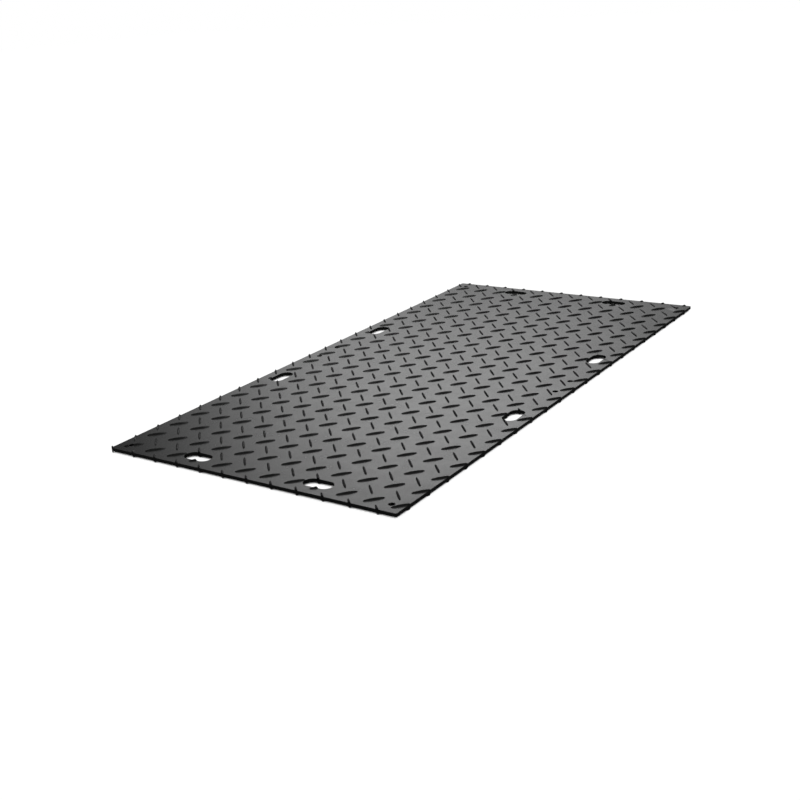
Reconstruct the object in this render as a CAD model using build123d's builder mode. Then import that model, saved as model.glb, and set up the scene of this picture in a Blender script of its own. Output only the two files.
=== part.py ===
from build123d import *
import math
import os

# Ground protection mat, moulded in one piece. Both faces carry the same tread
# of raised cleats. X runs along the sheet, Y across it and Z up. The origin is
# under the middle of the sheet, level with the crests of the underside cleats.

# Sheet
MAT_LENGTH = 2440.0
MAT_WIDTH = 1220.0
PLATE_THICKNESS = 12.7
CORNER_RADIUS = 6.0

# Tread cleats: a slim lozenge on plan that rises to a crest over its middle
CLEAT_LENGTH = 70.0
CLEAT_WIDTH = 10.0
CLEAT_HEIGHT = 6.0

# Tread pattern: two families of cleats, each lying along one diagonal of the
# pitch grid. The second family sits in the middle of the first one's grid.
# The shift is where the cleat nearest the middle of the sheet lies.
PITCH_X = 114.3
PITCH_Y = 104.0
PATTERN_SHIFT_X = -22.2
PATTERN_SHIFT_Y = 29.6

# Hand and link slots: two along each long side and two along each short side
SLOT_LENGTH = 112.0
SLOT_WIDTH = 57.0
LONG_SIDE_SLOT_SPACING = 700.0
LONG_SIDE_SLOT_INSET = 74.0
SHORT_SIDE_SLOT_SPACING = 520.0
SHORT_SIDE_SLOT_INSET = 75.0

# Pin holes: one near each corner and a pair at the middle of each long side
PIN_HOLE_DIAMETER = 22.0
PIN_HOLE_INSET = 50.8
MIDDLE_PIN_SPACING = 127.0

# Levels
PLATE_BOTTOM = CLEAT_HEIGHT
PLATE_TOP = PLATE_BOTTOM + PLATE_THICKNESS
MID_PLANE = Plane.XY.offset(PLATE_BOTTOM + PLATE_THICKNESS / 2)

# Cleats lie along the diagonals of the pitch grid
CLEAT_ANGLE = math.degrees(math.atan2(PITCH_Y, PITCH_X))

# How far off the sheet the middle of a cut cleat may lie
CLEAT_OVERHANG = CLEAT_LENGTH / 4


def grid_steps(sheet_size, pitch, shift):
    """Places along one axis, counted from the shift, for whole and cut cleats."""
    reach = sheet_size / 2 + CLEAT_OVERHANG
    first = math.ceil((-reach - shift) / pitch)
    last = math.floor((reach - shift) / pitch)
    return [shift + step * pitch for step in range(first, last + 1)]


def cleat_places(shift_x, shift_y, angle):
    """Places of one family of cleats on the top of the plate."""
    return [
        Location((x, y, PLATE_TOP), (0, 0, angle))
        for x in grid_steps(MAT_LENGTH, PITCH_X, shift_x)
        for y in grid_steps(MAT_WIDTH, PITCH_Y, shift_y)
    ]


# Plan of the sheet, with its slots and pin holes
with BuildSketch() as plan:
    RectangleRounded(MAT_LENGTH, MAT_WIDTH, CORNER_RADIUS)
    with GridLocations(LONG_SIDE_SLOT_SPACING, MAT_WIDTH - 2 * LONG_SIDE_SLOT_INSET, 2, 2):
        SlotOverall(SLOT_LENGTH, SLOT_WIDTH, mode=Mode.SUBTRACT)
    with GridLocations(MAT_LENGTH - 2 * SHORT_SIDE_SLOT_INSET, SHORT_SIDE_SLOT_SPACING, 2, 2):
        SlotOverall(SLOT_LENGTH, SLOT_WIDTH, rotation=90, mode=Mode.SUBTRACT)
    with GridLocations(MAT_LENGTH - 2 * PIN_HOLE_INSET, MAT_WIDTH - 2 * PIN_HOLE_INSET, 2, 2):
        Circle(PIN_HOLE_DIAMETER / 2, mode=Mode.SUBTRACT)
    with GridLocations(MIDDLE_PIN_SPACING, MAT_WIDTH - 2 * PIN_HOLE_INSET, 2, 2):
        Circle(PIN_HOLE_DIAMETER / 2, mode=Mode.SUBTRACT)

# One cleat
with BuildPart() as cleat:
    with BuildSketch() as lozenge:
        with BuildLine():
            Polyline(
                (-CLEAT_LENGTH / 2, 0),
                (0, -CLEAT_WIDTH / 2),
                (CLEAT_LENGTH / 2, 0),
                (0, CLEAT_WIDTH / 2),
                close=True,
            )
        make_face()
    loft(sections=[lozenge.sketch.face(), Vertex(0, 0, CLEAT_HEIGHT)])

# Tread of the top face, trimmed by the edges, the slots and the pin holes
with BuildPart() as tread:
    with Locations(
        *cleat_places(PATTERN_SHIFT_X, PATTERN_SHIFT_Y, -CLEAT_ANGLE),
        *cleat_places(PATTERN_SHIFT_X + PITCH_X / 2, PATTERN_SHIFT_Y + PITCH_Y / 2, CLEAT_ANGLE),
    ):
        add(cleat.part, clean=False)
    with BuildSketch(Plane.XY.offset(PLATE_TOP)):
        Rectangle(MAT_LENGTH + 2 * CLEAT_LENGTH, MAT_WIDTH + 2 * CLEAT_LENGTH)
        add(plan.sketch, mode=Mode.SUBTRACT)
    extrude(amount=CLEAT_HEIGHT, mode=Mode.SUBTRACT, clean=False)

# The mat: the plate with the same tread on its top and its underside
with BuildPart() as ground_mat:
    with BuildSketch(Plane.XY.offset(PLATE_BOTTOM)):
        add(plan.sketch)
    extrude(amount=PLATE_THICKNESS)
    add([tread.part, mirror(tread.part, about=MID_PLANE, mode=Mode.PRIVATE)], clean=False)

ground_mat.part.label = "ground_mat"
os.makedirs("parts", exist_ok=True)
export_step(ground_mat.part, "parts/ground_mat.step")
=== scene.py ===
import math

import bpy
from mathutils import Matrix, Vector
from mathutils.geometry import delaunay_2d_cdt


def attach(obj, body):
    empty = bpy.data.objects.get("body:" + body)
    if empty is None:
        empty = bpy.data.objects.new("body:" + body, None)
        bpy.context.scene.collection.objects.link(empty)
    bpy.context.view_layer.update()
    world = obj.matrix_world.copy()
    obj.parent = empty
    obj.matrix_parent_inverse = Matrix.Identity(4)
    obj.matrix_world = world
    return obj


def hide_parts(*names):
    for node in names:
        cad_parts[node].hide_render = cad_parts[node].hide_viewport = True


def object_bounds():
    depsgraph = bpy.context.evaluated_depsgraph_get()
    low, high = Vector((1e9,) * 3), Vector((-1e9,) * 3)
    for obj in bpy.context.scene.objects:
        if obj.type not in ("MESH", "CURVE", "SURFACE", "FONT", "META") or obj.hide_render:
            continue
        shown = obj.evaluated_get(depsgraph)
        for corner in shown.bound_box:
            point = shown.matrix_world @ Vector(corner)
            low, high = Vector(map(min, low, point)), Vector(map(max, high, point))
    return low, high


# Ground protection mat: one moulded sheet with raised cleats on both faces. It
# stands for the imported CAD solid, inside the same box. Everything is in metres
# in the CAD frame.
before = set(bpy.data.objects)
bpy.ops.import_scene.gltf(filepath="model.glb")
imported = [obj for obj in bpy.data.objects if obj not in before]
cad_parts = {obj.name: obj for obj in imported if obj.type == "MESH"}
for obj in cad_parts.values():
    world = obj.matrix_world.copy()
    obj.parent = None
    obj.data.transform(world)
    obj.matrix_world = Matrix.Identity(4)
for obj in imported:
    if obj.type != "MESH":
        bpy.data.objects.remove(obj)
cad_low, cad_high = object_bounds()

# Sheet sizes
LENGTH = cad_high.x - cad_low.x
WIDTH = cad_high.y - cad_low.y
CORNER_RADIUS = 0.006
EDGE_CHAMFER = 0.0008
CLEAT_HEIGHT = 0.006
PLATE_TOP = cad_high.z - CLEAT_HEIGHT

# A height on the top face and its mirror image on the underside add up to this
MIRROR_SUM = cad_low.z + cad_high.z

SLOT_LENGTH = 0.112
SLOT_WIDTH = 0.057
SLOT_RADIUS = SLOT_WIDTH / 2
SLOT_RUN = SLOT_LENGTH / 2 - SLOT_WIDTH / 2
LONG_SIDE_SLOT_SPACING = 0.700
LONG_SIDE_SLOT_INSET = 0.074
SHORT_SIDE_SLOT_SPACING = 0.520
SHORT_SIDE_SLOT_INSET = 0.075

PIN_HOLE_RADIUS = 0.011
PIN_HOLE_INSET = 0.0508
MIDDLE_PIN_SPACING = 0.127

# Slots: middle, and how far each round end's middle lies from it along X and Y
SLOTS = [
    (x, y, SLOT_RUN, 0.0)
    for x in (-LONG_SIDE_SLOT_SPACING / 2, LONG_SIDE_SLOT_SPACING / 2)
    for y in (-WIDTH / 2 + LONG_SIDE_SLOT_INSET, WIDTH / 2 - LONG_SIDE_SLOT_INSET)
] + [
    (x, y, 0.0, SLOT_RUN)
    for x in (-LENGTH / 2 + SHORT_SIDE_SLOT_INSET, LENGTH / 2 - SHORT_SIDE_SLOT_INSET)
    for y in (-SHORT_SIDE_SLOT_SPACING / 2, SHORT_SIDE_SLOT_SPACING / 2)
]
PIN_HOLES = [
    (x, y)
    for x in (
        -LENGTH / 2 + PIN_HOLE_INSET, -MIDDLE_PIN_SPACING / 2,
        MIDDLE_PIN_SPACING / 2, LENGTH / 2 - PIN_HOLE_INSET,
    )
    for y in (-WIDTH / 2 + PIN_HOLE_INSET, WIDTH / 2 - PIN_HOLE_INSET)
]

# Tread pattern: two families of cleats, each along one diagonal of the pitch
# grid. The second one sits half a pitch off the first, along X and Y.
PITCH_X = 0.1143
PITCH_Y = 0.1040
PATTERN_SHIFT_X = -0.0222
PATTERN_SHIFT_Y = 0.0296
DIAGONAL = math.atan2(PITCH_Y, PITCH_X)
FAMILIES = [(0.0, -DIAGONAL), (0.5, DIAGONAL)]

# A cleat is a slim bar with blunt ends. Its crest rises in an arch from end to
# end, and its flanks lean in to a narrow crown.
CLEAT_LENGTH = 0.072
CLEAT_WIDTH = 0.0095
END_POWER = 4.0
ARCH_POWER = 0.4
FLANK_POWER = 1.3

# The mesh follows a cleat along rings drawn in from its footprint and along its
# crest. Steps go from -1 at one end to 1 at the other.
RING_SCALES = [1.0, 0.8, 0.5, 0.2]
RING_STEPS = [-1.0, -0.96, -0.82, -0.5, 0.0, 0.5, 0.82, 0.96]
CREST_STEPS = [-0.9, -0.75, -0.5, -0.25, 0.0, 0.25, 0.5, 0.75, 0.9]

# Stretches in a quarter turn of each rounded outline
CORNER_STEPS = 6
SLOT_STEPS = 12
PIN_HOLE_STEPS = 7

# Points nearer than this are one point
SAME_POINT = 1e-6
TRIANGULATION_SLACK = 1e-7
SHARP_ANGLE = math.radians(40)


# Shape functions
def edge_depth(x, y):
    """How far a point lies inside the material, from the nearest edge."""
    across = abs(x) - LENGTH / 2 + CORNER_RADIUS
    along = abs(y) - WIDTH / 2 + CORNER_RADIUS
    outside = math.hypot(max(across, 0.0), max(along, 0.0))
    depth = CORNER_RADIUS - outside - min(max(across, along), 0.0)
    for middle_x, middle_y, run_x, run_y in SLOTS:
        gap = math.hypot(max(abs(x - middle_x) - run_x, 0.0), max(abs(y - middle_y) - run_y, 0.0))
        depth = min(depth, gap - SLOT_RADIUS)
    for middle_x, middle_y in PIN_HOLES:
        depth = min(depth, math.hypot(x - middle_x, y - middle_y) - PIN_HOLE_RADIUS)
    return depth


def half_width(step):
    """Half the width of a cleat, at a step from -1 at one end to 1 at the other."""
    return CLEAT_WIDTH / 2 * math.sqrt(max(0.0, 1 - abs(step) ** END_POWER))


def cleat_rise(x, y):
    """Height of the tread above the plate."""
    rise = 0.0
    for half_step, angle in FAMILIES:
        column = (x - PATTERN_SHIFT_X) / PITCH_X - half_step
        row = (y - PATTERN_SHIFT_Y) / PITCH_Y - half_step
        dx = (column - round(column)) * PITCH_X
        dy = (row - round(row)) * PITCH_Y
        along = dx * math.cos(angle) + dy * math.sin(angle)
        aside = dy * math.cos(angle) - dx * math.sin(angle)
        step = 2 * along / CLEAT_LENGTH
        if abs(aside) < half_width(step):
            arch = (1 - step ** 2) ** ARCH_POWER
            flank = 1 - (abs(aside) / half_width(step)) ** FLANK_POWER
            rise = max(rise, CLEAT_HEIGHT * arch * flank)
    return rise


def surface_height(x, y):
    """Height of the top face at a point, with the chamfer along every edge."""
    drop = max(0.0, EDGE_CHAMFER - edge_depth(x, y))
    return PLATE_TOP + cleat_rise(x, y) - drop


# Lines of the plan
plan_points = []
plan_edges = []


def add_line(points, closed):
    """Adds one open or closed line to the plan."""
    first = len(plan_points)
    count = len(points)
    plan_points.extend(Vector(point) for point in points)
    plan_edges.extend(
        (first + k, first + (k + 1) % count)
        for k in range(count if closed else count - 1)
    )


def rounded_loop(middle_x, middle_y, run_x, run_y, radius, steps):
    """Points round a rectangle of half sizes run_x and run_y grown by a radius."""
    points = []
    for quarter, (side_x, side_y) in enumerate(((1, 1), (-1, 1), (-1, -1), (1, -1))):
        for k in range(steps + 1):
            turn = math.pi / 2 * (quarter + k / steps)
            x = middle_x + side_x * run_x + radius * math.cos(turn)
            y = middle_y + side_y * run_y + radius * math.sin(turn)
            if not points or math.dist((x, y), points[-1]) > SAME_POINT:
                points.append((x, y))
    if math.dist(points[0], points[-1]) < SAME_POINT:
        points.pop()
    return points


def cleat_ring(scale):
    """Points round a cleat's footprint, drawn in by a scale."""
    return [
        (scale * side * step * CLEAT_LENGTH / 2, scale * side * half_width(step))
        for side in (1, -1)
        for step in RING_STEPS
    ]


def cleat_crest():
    """Points along a cleat's crest."""
    return [(step * CLEAT_LENGTH / 2, 0.0) for step in CREST_STEPS]


def placed(points, x, y, angle):
    """Points turned by an angle and moved to a cleat's place."""
    cosine = math.cos(angle)
    sine = math.sin(angle)
    return [(x + u * cosine - v * sine, y + u * sine + v * cosine) for u, v in points]


def grid_steps(size, pitch, shift):
    """Places along one axis whose cleats reach onto the sheet."""
    reach = size / 2 + CLEAT_LENGTH / 4
    first = math.ceil((-reach - shift) / pitch)
    last = math.floor((reach - shift) / pitch)
    return [shift + step * pitch for step in range(first, last + 1)]


def add_outlines(margin):
    """Adds the outlines of the sheet, slots and holes, a margin into the material."""
    core_x = LENGTH / 2 - CORNER_RADIUS
    core_y = WIDTH / 2 - CORNER_RADIUS
    add_line(rounded_loop(0.0, 0.0, core_x, core_y, CORNER_RADIUS - margin, CORNER_STEPS), True)
    for x, y, run_x, run_y in SLOTS:
        add_line(rounded_loop(x, y, run_x, run_y, SLOT_RADIUS + margin, SLOT_STEPS), True)
    for x, y in PIN_HOLES:
        add_line(rounded_loop(x, y, 0.0, 0.0, PIN_HOLE_RADIUS + margin, PIN_HOLE_STEPS), True)


def add_cleats(half_step, angle):
    """Adds the rings and crests of one family of cleats."""
    for x in grid_steps(LENGTH, PITCH_X, PATTERN_SHIFT_X + half_step * PITCH_X):
        for y in grid_steps(WIDTH, PITCH_Y, PATTERN_SHIFT_Y + half_step * PITCH_Y):
            for scale in RING_SCALES:
                add_line(placed(cleat_ring(scale), x, y, angle), True)
            add_line(placed(cleat_crest(), x, y, angle), False)


for margin in (0.0, EDGE_CHAMFER, EDGE_CHAMFER * 2):
    add_outlines(margin)
for half_step, angle in FAMILIES:
    add_cleats(half_step, angle)

# The mesh: only the triangles that lie inside the material are kept
flat_points, _, triangles, _, _, _ = delaunay_2d_cdt(plan_points, plan_edges, [], 0, TRIANGULATION_SLACK)

kept = []
for a, b, c in triangles:
    middle = (flat_points[a] + flat_points[b] + flat_points[c]) / 3
    if edge_depth(middle.x, middle.y) > 0.0:
        kept.append((a, b, c))

used = sorted({corner for triangle in kept for corner in triangle})
renumbered = {old: new for new, old in enumerate(used)}
kept = [tuple(renumbered[corner] for corner in triangle) for triangle in kept]

top = []
for old in used:
    x, y = flat_points[old]
    top.append((x, y, surface_height(x, y)))
count = len(top)
underside = [(x, y, MIRROR_SUM - z) for x, y, z in top]

# Walls stand on the edges that only one triangle uses
directed = {(triangle[k], triangle[(k + 1) % 3]) for triangle in kept for k in range(3)}
rim = [(a, b) for a, b in directed if (b, a) not in directed]
faces = list(kept)
faces += [(c + count, b + count, a + count) for a, b, c in kept]
faces += [(b, a, a + count, b + count) for a, b in sorted(rim)]

mesh = bpy.data.meshes.new("ground_mat_moulding")
mesh.from_pydata(top + underside, [], faces)
mesh.validate()
mesh.shade_smooth()
mesh.set_sharp_from_angle(angle=SHARP_ANGLE)
moulding = bpy.data.objects.new("ground_mat_moulding", mesh)
bpy.context.scene.collection.objects.link(moulding)
print("triangles", len(kept) * 2 + len(rim) * 2, "vertices", len(mesh.vertices))

# Black plastic: colour, roughness and bump vary softly over the sheet. Scales
# are in waves a metre, and bump distances are in metres.
PLASTIC_IOR = 1.5
DARK_TINT = (0.0130, 0.0135, 0.0132, 1.0)
LIGHT_TINT = (0.0170, 0.0176, 0.0173, 1.0)
TINT_RANGE = (0.3, 0.7)
TINT_SCALE = 9.0
TINT_DETAIL = 4.0
ROUGHNESS_RANGE = (0.22, 0.30)
ROUGHNESS_SCALE = 22.0
ROUGHNESS_DETAIL = 5.0
WAVE_SCALE = 30.0
WAVE_DETAIL = 2.0
WAVE_STRENGTH = 0.03
WAVE_DISTANCE = 0.002
GRAIN_SCALE = 900.0
GRAIN_DETAIL = 3.0
GRAIN_STRENGTH = 0.15
GRAIN_DISTANCE = 0.0003


def new_material(name):
    """A material with nothing but an output: itself, its nodes, links and output."""
    material = bpy.data.materials.new(name)
    material.use_nodes = True
    nodes = material.node_tree.nodes
    nodes.clear()
    output = nodes.new("ShaderNodeOutputMaterial")
    return material, nodes, material.node_tree.links, output


def noise(nodes, links, scale, detail):
    """The output of a noise pattern fixed to the object."""
    place = nodes.new("ShaderNodeTexCoord")
    pattern = nodes.new("ShaderNodeTexNoise")
    pattern.inputs["Scale"].default_value = scale
    pattern.inputs["Detail"].default_value = detail
    links.new(place.outputs["Object"], pattern.inputs["Vector"])
    return pattern.outputs["Fac"]


def bump(nodes, links, height, strength, distance):
    """A bump that follows a pattern."""
    relief = nodes.new("ShaderNodeBump")
    relief.inputs["Strength"].default_value = strength
    relief.inputs["Distance"].default_value = distance
    links.new(height, relief.inputs["Height"])
    return relief


def plastic_material():
    """Satin near-black plastic with a fine moulded grain over a slow waviness."""
    material, nodes, links, output = new_material("mat_plastic")
    shader = nodes.new("ShaderNodeBsdfPrincipled")
    shader.inputs["IOR"].default_value = PLASTIC_IOR
    links.new(shader.outputs["BSDF"], output.inputs["Surface"])

    tint = nodes.new("ShaderNodeValToRGB")
    for stop, position, color in zip(tint.color_ramp.elements, TINT_RANGE, (DARK_TINT, LIGHT_TINT)):
        stop.position = position
        stop.color = color
    links.new(noise(nodes, links, TINT_SCALE, TINT_DETAIL), tint.inputs["Fac"])
    links.new(tint.outputs["Color"], shader.inputs["Base Color"])

    roughness = nodes.new("ShaderNodeMapRange")
    roughness.inputs["To Min"].default_value = ROUGHNESS_RANGE[0]
    roughness.inputs["To Max"].default_value = ROUGHNESS_RANGE[1]
    links.new(noise(nodes, links, ROUGHNESS_SCALE, ROUGHNESS_DETAIL), roughness.inputs["Value"])
    links.new(roughness.outputs["Result"], shader.inputs["Roughness"])

    waves = noise(nodes, links, WAVE_SCALE, WAVE_DETAIL)
    wave_bump = bump(nodes, links, waves, WAVE_STRENGTH, WAVE_DISTANCE)
    grain = noise(nodes, links, GRAIN_SCALE, GRAIN_DETAIL)
    grain_bump = bump(nodes, links, grain, GRAIN_STRENGTH, GRAIN_DISTANCE)
    links.new(wave_bump.outputs["Normal"], grain_bump.inputs["Normal"])
    links.new(grain_bump.outputs["Normal"], shader.inputs["Normal"])
    return material


mesh.materials.append(plastic_material())
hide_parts("ground_mat")
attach(moulding, "root")

# Floor and backdrop. The floor glows white to the camera where it lies open. Ambient occlusion fades that
# glow under the mat, in its slots and holes and right at its edges, as painted shade. Its grey base takes
# the mat's shadow.
WHITE = (1.0, 1.0, 1.0, 1.0)
FLOOR_SIZE = 60.0
FLOOR_DROP = 0.0002
FLOOR_GREY = (0.15, 0.15, 0.15, 1.0)
# Ambient occlusion that fades the floor's glow: painted shade under the mat and right at its edges
SHADE_OCCLUSION_DISTANCE = 0.12
SHADE_OCCLUSION_SAMPLES = 6
SHADE_OCCLUSION_RANGE = (0.06, 0.3)
ROOM_STRENGTH = 0.11
BACKDROP_STRENGTH = 1.0


def floor_material():
    """A grey floor that shows as white to the camera, with painted shade where ambient occlusion fades
    its glow under and right round the mat.
    """
    material, nodes, links, output = new_material("floor_white")
    base = nodes.new("ShaderNodeBsdfDiffuse")
    base.inputs["Color"].default_value = FLOOR_GREY

    # Painted shade: the glow is taken away where ambient occlusion finds the mat close by
    shade_occlusion = nodes.new("ShaderNodeAmbientOcclusion")
    shade_occlusion.samples = SHADE_OCCLUSION_SAMPLES
    shade_occlusion.inputs["Distance"].default_value = SHADE_OCCLUSION_DISTANCE
    painted_shade_ramp = nodes.new("ShaderNodeMapRange")
    painted_shade_ramp.inputs["From Min"].default_value = SHADE_OCCLUSION_RANGE[0]
    painted_shade_ramp.inputs["From Max"].default_value = SHADE_OCCLUSION_RANGE[1]
    links.new(shade_occlusion.outputs["AO"], painted_shade_ramp.inputs["Value"])

    light_path = nodes.new("ShaderNodeLightPath")
    camera_glow_with_painted_shade = nodes.new("ShaderNodeMath")
    camera_glow_with_painted_shade.operation = "MULTIPLY"
    links.new(light_path.outputs["Is Camera Ray"], camera_glow_with_painted_shade.inputs[0])
    links.new(painted_shade_ramp.outputs["Result"], camera_glow_with_painted_shade.inputs[1])
    glow = nodes.new("ShaderNodeEmission")
    glow.inputs["Color"].default_value = WHITE
    links.new(camera_glow_with_painted_shade.outputs["Value"], glow.inputs["Strength"])

    both = nodes.new("ShaderNodeAddShader")
    links.new(base.outputs["BSDF"], both.inputs[0])
    links.new(glow.outputs["Emission"], both.inputs[1])
    links.new(both.outputs["Shader"], output.inputs["Surface"])
    return material


def background(nodes, strength):
    """The output of a white background of the given strength."""
    shader = nodes.new("ShaderNodeBackground")
    shader.inputs["Color"].default_value = WHITE
    shader.inputs["Strength"].default_value = strength
    return shader.outputs["Background"]


def studio_world():
    """A dim room that the camera sees as a white backdrop."""
    world = bpy.data.worlds.new("studio")
    world.use_nodes = True
    nodes = world.node_tree.nodes
    links = world.node_tree.links
    nodes.clear()
    output = nodes.new("ShaderNodeOutputWorld")
    light_path = nodes.new("ShaderNodeLightPath")
    choice = nodes.new("ShaderNodeMixShader")
    links.new(light_path.outputs["Is Camera Ray"], choice.inputs["Fac"])
    links.new(background(nodes, ROOM_STRENGTH), choice.inputs[1])
    links.new(background(nodes, BACKDROP_STRENGTH), choice.inputs[2])
    links.new(choice.outputs["Shader"], output.inputs["Surface"])
    return world


half_floor = FLOOR_SIZE / 2
floor_corners = [
    (-half_floor, -half_floor, 0.0), (half_floor, -half_floor, 0.0),
    (half_floor, half_floor, 0.0), (-half_floor, half_floor, 0.0),
]
floor_mesh = bpy.data.meshes.new("floor")
floor_mesh.from_pydata(floor_corners, [], [(0, 1, 2, 3)])
floor_mesh.materials.append(floor_material())
floor = bpy.data.objects.new("floor", floor_mesh)
floor.location.z = -FLOOR_DROP
bpy.context.scene.collection.objects.link(floor)
bpy.context.scene.world = studio_world()

# Lamps, all aimed at the middle of the mat. The satin plate mirrors the back
# lamp, which is made of nested rectangles, each a little behind the last, so
# that it fades from its middle to its rim.
LAMP_AIM = Vector((0.0, 0.0, 0.0))
BACK_PLACE = Vector((5.97, 3.73, 3.12))
BACK_RADIANCE = 2.6
BACK_REACH_ASIDE = 2.04
BACK_REACH_UP = 1.17
BACK_RINGS = [(1.6, 0.13), (1.25, 0.17), (0.95, 0.23), (0.65, 0.25), (0.35, 0.18)]
BACK_RING_GAP = 0.002
OVERHEAD_PLACE = Vector((0.0, 0.0, 2.8))
OVERHEAD_SIZE = 3.0
OVERHEAD_RADIANCE = 1.0
FRONT_PLACE = Vector((-4.7, -4.1, 1.2))
FRONT_WIDTH = 3.6
FRONT_HEIGHT = 1.6
FRONT_RADIANCE = 0.9


def softbox(name, place, width, height, radiance):
    """A soft lamp whose face has the given brightness."""
    lamp = bpy.data.lights.new(name, "AREA")
    lamp.shape = "RECTANGLE"
    lamp.size = width
    lamp.size_y = height
    lamp.energy = math.pi * width * height * radiance
    holder = bpy.data.objects.new(name, lamp)
    holder.location = place
    holder.rotation_euler = (LAMP_AIM - place).to_track_quat("-Z", "Y").to_euler()
    holder.visible_camera = False
    bpy.context.scene.collection.objects.link(holder)


for ring, (reach, share) in enumerate(BACK_RINGS):
    softbox(
        "back_softbox_%d" % ring, BACK_PLACE * (1 + BACK_RING_GAP * ring),
        2 * reach * BACK_REACH_ASIDE, 2 * reach * BACK_REACH_UP, share * BACK_RADIANCE,
    )
softbox("overhead_softbox", OVERHEAD_PLACE, OVERHEAD_SIZE, OVERHEAD_SIZE, OVERHEAD_RADIANCE)
softbox("front_softbox", FRONT_PLACE, FRONT_WIDTH, FRONT_HEIGHT, FRONT_RADIANCE)

# Camera, solved from the mat's outline in the photo
CAMERA_PLACE = Vector((-3.8073, -2.4538, 1.5273))
HEADING = math.radians(-55.15)
TILT_DOWN = math.radians(19.897)
ROLL = math.radians(-3.754)
LENS = 52.76
SENSOR_WIDTH = 36.0

# Fine aim, in pixels of a picture 800 pixels wide
PICTURE_WIDTH = 800
AIM_UP_PIXELS = 0.36
AIM_LEFT_PIXELS = 0.5
PIXEL = SENSOR_WIDTH / LENS / PICTURE_WIDTH

ahead = Vector((
    -math.cos(TILT_DOWN) * math.sin(HEADING),
    math.cos(TILT_DOWN) * math.cos(HEADING),
    -math.sin(TILT_DOWN),
))
level_right = ahead.cross(Vector((0.0, 0.0, 1.0))).normalized()
level_up = level_right.cross(ahead)
right = level_right * math.cos(ROLL) + level_up * math.sin(ROLL)
up = level_up * math.cos(ROLL) - level_right * math.sin(ROLL)

ahead = (ahead + (up * AIM_UP_PIXELS - right * AIM_LEFT_PIXELS) * PIXEL).normalized()
right = (right - ahead * right.dot(ahead)).normalized()
up = right.cross(ahead)

camera_data = bpy.data.cameras.new("camera")
camera_data.sensor_width = SENSOR_WIDTH
camera_data.lens = LENS
camera = bpy.data.objects.new("camera", camera_data)
camera.matrix_world = Matrix.Translation(CAMERA_PLACE) @ Matrix((right, up, -ahead)).transposed().to_4x4()
bpy.context.scene.collection.objects.link(camera)
bpy.context.scene.camera = camera
bpy.context.scene.view_settings.view_transform = "Standard"
